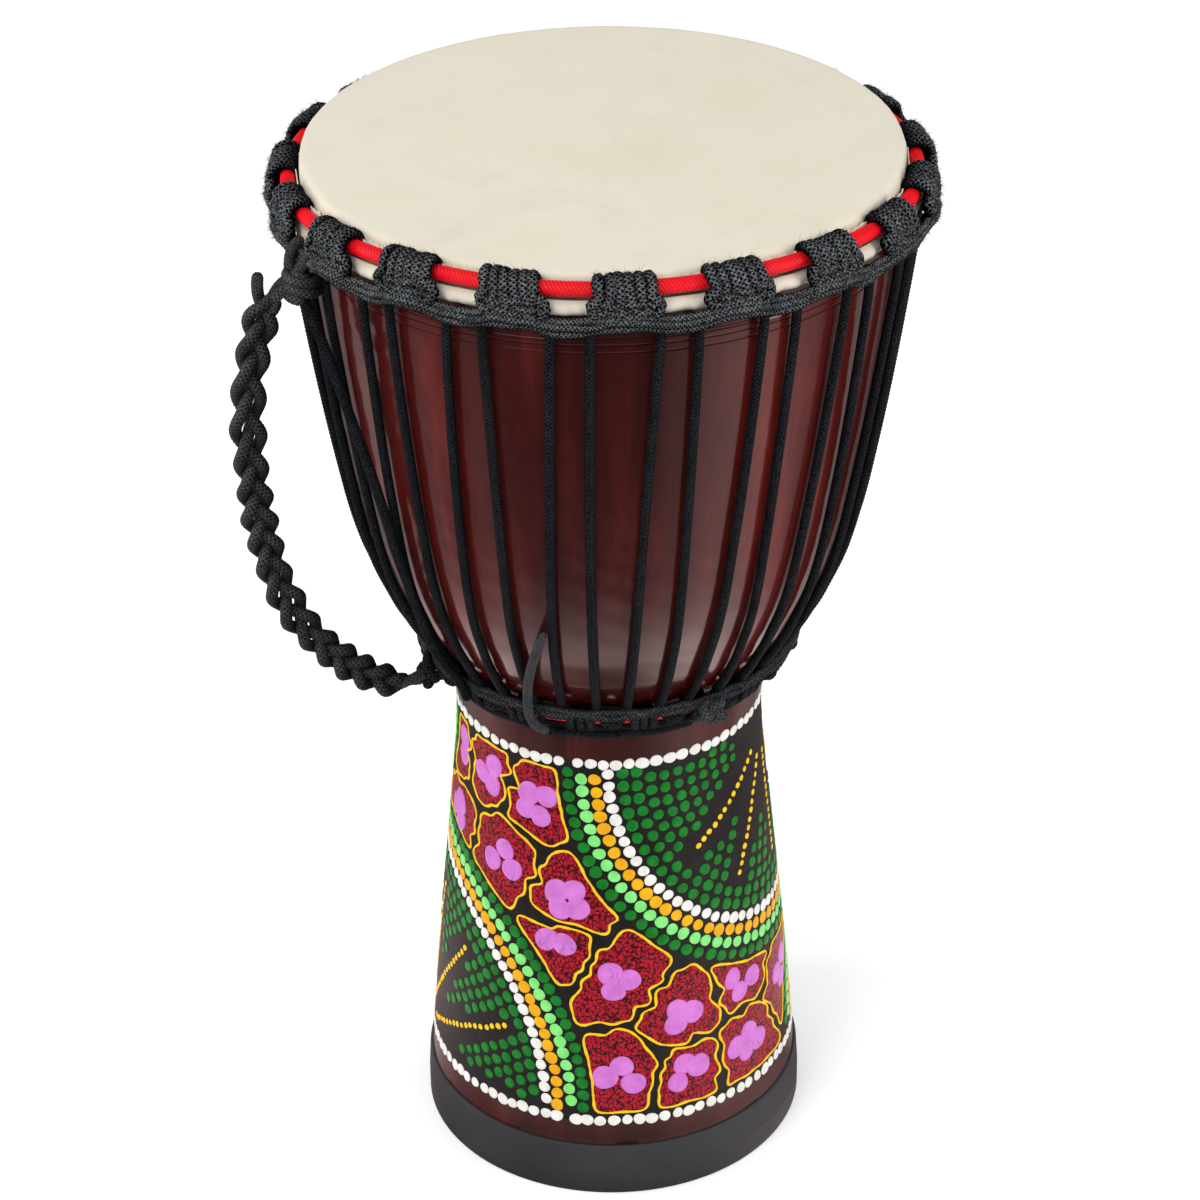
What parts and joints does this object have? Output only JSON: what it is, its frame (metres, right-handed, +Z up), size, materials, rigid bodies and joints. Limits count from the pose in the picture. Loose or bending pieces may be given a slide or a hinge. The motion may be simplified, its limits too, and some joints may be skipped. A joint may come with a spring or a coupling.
{
  "type": "djembe drum",
  "caption": "Goblet-shaped hand drum: carved wooden shell, goatskin head on rope-tuned hoops, braided carry handle and rubber foot.",
  "frame": {"origin": "on the drum's axis, in the plane the rubber foot stands on", "axes": "+Z up along the drum's axis; -Y is the front; the carry handle hangs front left, at 50 degrees from -Y towards -X"},
  "size_m": [0.3384, 0.339, 0.601],
  "materials": {
    "stained_wood": "dark red-brown stain under glossy lacquer, painted dot band on the stem",
    "rubber": "matt black moulded rubber",
    "goatskin": "shaved off-white goatskin, smooth",
    "hoop_steel": "plain round steel rod",
    "red_wrap": "bright red cloth wound on the hoops",
    "black_rope": "black braided polyester rope"
  },
  "bodies": {
    "drum": {"shell": "stained_wood", "rubber_foot": "rubber", "drumhead": "goatskin", "bottom_ring": "hoop_steel", "bottom_ring_wrap": "red_wrap", "bottom_cradle_rope": "black_rope", "tension_rope": "black_rope", "waist_wrap_rope": "black_rope", "waist_knot": "black_rope", "handle_bottom_knot": "black_rope", "handle_anchor_rope": "black_rope"},
    "hoop": {"flesh_ring": "hoop_steel", "crown_ring": "hoop_steel", "crown_ring_wrap": "red_wrap", "top_cradle_rope": "black_rope", "handle_top_knot": "black_rope"},
    "handle": {"handle_braid": "black_rope"},
    "tail": {"rope_tail": "black_rope"}
  },
  "joints": [
    {"name": "head_tuning", "type": "slide", "parent": "drum", "child": "hoop", "axis": [0, 0, -1], "range_m": [-0.002, 0.005], "deforming": ["drumhead", "tension_rope", "handle_anchor_rope"]},
    {"name": "handle_swing", "type": "hinge", "parent": "drum", "child": "handle", "pos_m": [-0.08381, -0.07032, 0.3115], "axis": [-0.193, -0.1619, 0.9678], "range_deg": [-70, 70]},
    {"name": "rope_tail_swing", "type": "hinge", "parent": "drum", "child": "tail", "pos_m": [-0.01293, -0.10239, 0.3033], "axis": [0.9921, -0.1253, 0], "range_deg": [0, 70]}
  ]
}
